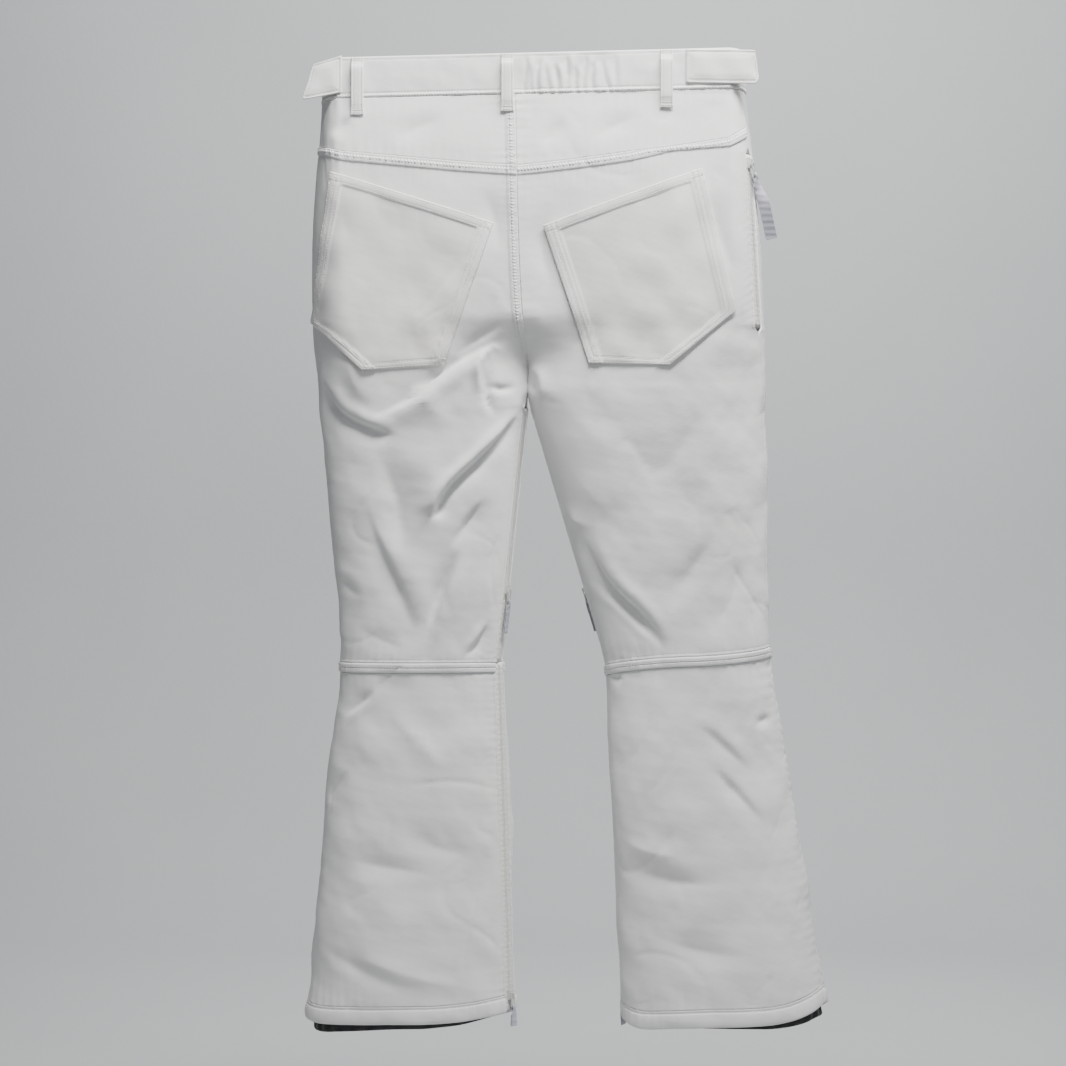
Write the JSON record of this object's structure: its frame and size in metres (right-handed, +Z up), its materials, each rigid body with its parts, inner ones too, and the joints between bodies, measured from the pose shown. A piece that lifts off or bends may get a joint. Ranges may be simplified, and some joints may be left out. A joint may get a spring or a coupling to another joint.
{
  "type": "ski pants",
  "caption": "White flared softshell ski pants with an elasticated back waistband, belt loops, back patch pockets, vent and lower-leg zips, and black gaiters inside the hems.",
  "frame": {"origin": "centre of the waist opening, level with the waistband's top edge at the middle", "axes": "+Z up along the legs, +X to the wearer's right, +Y out of the front, so the back faces -Y"},
  "size_m": [0.5934, 0.1197, 1.1043],
  "materials": {
    "white_softshell": "matte woven softshell",
    "cream_softshell": "matte woven softshell, slightly warmer",
    "black_fabric": "matte stretch gaiter cloth",
    "ribbon_grey": "soft grosgrain ribbon",
    "zip_tape": "woven tape with moulded coil",
    "zip_metal": "satin off-white paint"
  },
  "bodies": {
    "pants": {"waistband_back": "white_softshell", "waistband_front_right": "white_softshell", "waistband_front_left": "white_softshell", "fly_snap_cap": "zip_metal", "fly_snap_stud": "zip_metal", "belt_loop_back_left": "cream_softshell", "belt_loop_back_centre": "cream_softshell", "belt_loop_back_right": "cream_softshell", "belt_loop_front_left": "cream_softshell", "belt_loop_front_right": "cream_softshell", "yoke_left": "white_softshell", "back_panel_left": "white_softshell", "back_pocket_left": "cream_softshell", "front_panel_left": "white_softshell", "shin_back_left": "white_softshell", "shin_front_left": "white_softshell", "knee_band_left": "white_softshell", "hem_band_left": "white_softshell", "gaiter_left": "black_fabric", "gaiter_elastic_left": "black_fabric", "pocket_zip_left": "zip_tape", "vent_zip_left": "zip_tape", "shin_zip_left": "zip_tape", "yoke_right": "white_softshell", "back_panel_right": "white_softshell", "back_pocket_right": "cream_softshell", "front_panel_right": "white_softshell", "shin_back_right": "white_softshell", "shin_front_right": "white_softshell", "knee_band_right": "white_softshell", "hem_band_right": "white_softshell", "gaiter_right": "black_fabric", "gaiter_elastic_right": "black_fabric", "pocket_zip_right": "zip_tape", "vent_zip_right": "zip_tape", "shin_zip_right": "zip_tape", "fly_zip": "zip_tape", "fly_shield": "white_softshell"},
    "pocket_slider_left": {"pocket_slider_left": "zip_metal"},
    "pocket_puller_left": {"pocket_puller_left": "zip_metal", "pocket_ribbon_left": "ribbon_grey"},
    "pocket_slider_right": {"pocket_slider_right": "zip_metal"},
    "pocket_puller_right": {"pocket_puller_right": "zip_metal", "pocket_ribbon_right": "ribbon_grey"},
    "vent_slider_left": {"vent_slider_left": "zip_metal"},
    "vent_puller_left": {"vent_puller_left": "zip_metal", "vent_ribbon_left": "ribbon_grey"},
    "vent_slider_right": {"vent_slider_right": "zip_metal"},
    "vent_puller_right": {"vent_puller_right": "zip_metal", "vent_ribbon_right": "ribbon_grey"},
    "shin_slider_left": {"shin_slider_left": "zip_metal"},
    "shin_puller_left": {"shin_puller_left": "zip_metal", "shin_ribbon_left": "ribbon_grey"},
    "shin_slider_right": {"shin_slider_right": "zip_metal"},
    "shin_puller_right": {"shin_puller_right": "zip_metal", "shin_ribbon_right": "ribbon_grey"},
    "fly_slider": {"fly_slider": "zip_metal"},
    "fly_puller": {"fly_puller": "zip_metal"},
    "waist_tab_left": {"waist_tab_left": "cream_softshell"},
    "waist_tab_right": {"waist_tab_right": "cream_softshell"}
  },
  "joints": [
    {"name": "pocket_slide_left", "type": "slide", "parent": "pants", "child": "pocket_slider_left", "axis": [-0.0121, 0.0186, -0.9998], "range_m": [0, 0.17]},
    {"name": "pocket_pull_left", "type": "hinge", "parent": "pocket_slider_left", "child": "pocket_puller_left", "pos_m": [-0.24029, 0.03268, -0.12192], "axis": [0.5063, 0.8623, 0.0099], "range_deg": [0, 120]},
    {"name": "pocket_slide_right", "type": "slide", "parent": "pants", "child": "pocket_slider_right", "axis": [0.0579, -0.0042, -0.9983], "range_m": [0, 0.17]},
    {"name": "pocket_pull_right", "type": "hinge", "parent": "pocket_slider_right", "child": "pocket_puller_right", "pos_m": [0.24533, -0.03509, -0.12179], "axis": [-0.4362, -0.8, -0.4121], "range_deg": [0, 120]},
    {"name": "vent_slide_left", "type": "slide", "parent": "pants", "child": "vent_slider_left", "axis": [0.103, 0.0156, 0.9946], "range_m": [0, 0.12]},
    {"name": "vent_pull_left", "type": "hinge", "parent": "vent_slider_left", "child": "vent_puller_left", "pos_m": [-0.02569, -0.01796, -0.59937], "axis": [-0.3711, -0.9271, 0.053], "range_deg": [0, 120]},
    {"name": "vent_slide_right", "type": "slide", "parent": "pants", "child": "vent_slider_right", "axis": [-0.285, -0.0146, 0.9584], "range_m": [0, 0.12]},
    {"name": "vent_pull_right", "type": "hinge", "parent": "vent_slider_right", "child": "vent_puller_right", "pos_m": [0.05778, 0.01801, -0.60004], "axis": [0.3891, 0.912, 0.1296], "range_deg": [0, 120]},
    {"name": "shin_slide_left", "type": "slide", "parent": "pants", "child": "shin_slider_left", "axis": [-0.0322, 0.0187, 0.9993], "range_m": [0, 0.33]},
    {"name": "shin_pull_left", "type": "hinge", "parent": "shin_slider_left", "child": "shin_puller_left", "pos_m": [-0.02253, -0.02691, -1.05285], "axis": [-0.5468, -0.8373, -0.002], "range_deg": [0, 120]},
    {"name": "shin_slide_right", "type": "slide", "parent": "pants", "child": "shin_slider_right", "axis": [-0.0475, -0.0191, 0.9987], "range_m": [0, 0.33]},
    {"name": "shin_pull_right", "type": "hinge", "parent": "shin_slider_right", "child": "shin_puller_right", "pos_m": [0.102, 0.02707, -1.06312], "axis": [0.5396, 0.8409, 0.0418], "range_deg": [0, 120]},
    {"name": "fly_slide", "type": "slide", "parent": "pants", "child": "fly_slider", "axis": [-0.0386, 0.0539, -0.9978], "range_m": [0, 0.15]},
    {"name": "fly_pull", "type": "hinge", "parent": "fly_slider", "child": "fly_puller", "pos_m": [0.01946, 0.04969, -0.05678], "axis": [0.9993, 0, -0.0387], "range_deg": [0, 120]},
    {"name": "tab_peel_left", "type": "hinge", "parent": "pants", "child": "waist_tab_left", "pos_m": [-0.213, -0.0463, 0], "axis": [0, 0, 1], "range_deg": [0, 120]},
    {"name": "tab_peel_right", "type": "hinge", "parent": "pants", "child": "waist_tab_right", "pos_m": [0.17, -0.0463, 0], "axis": [0, 0, -1], "range_deg": [0, 120]}
  ]
}
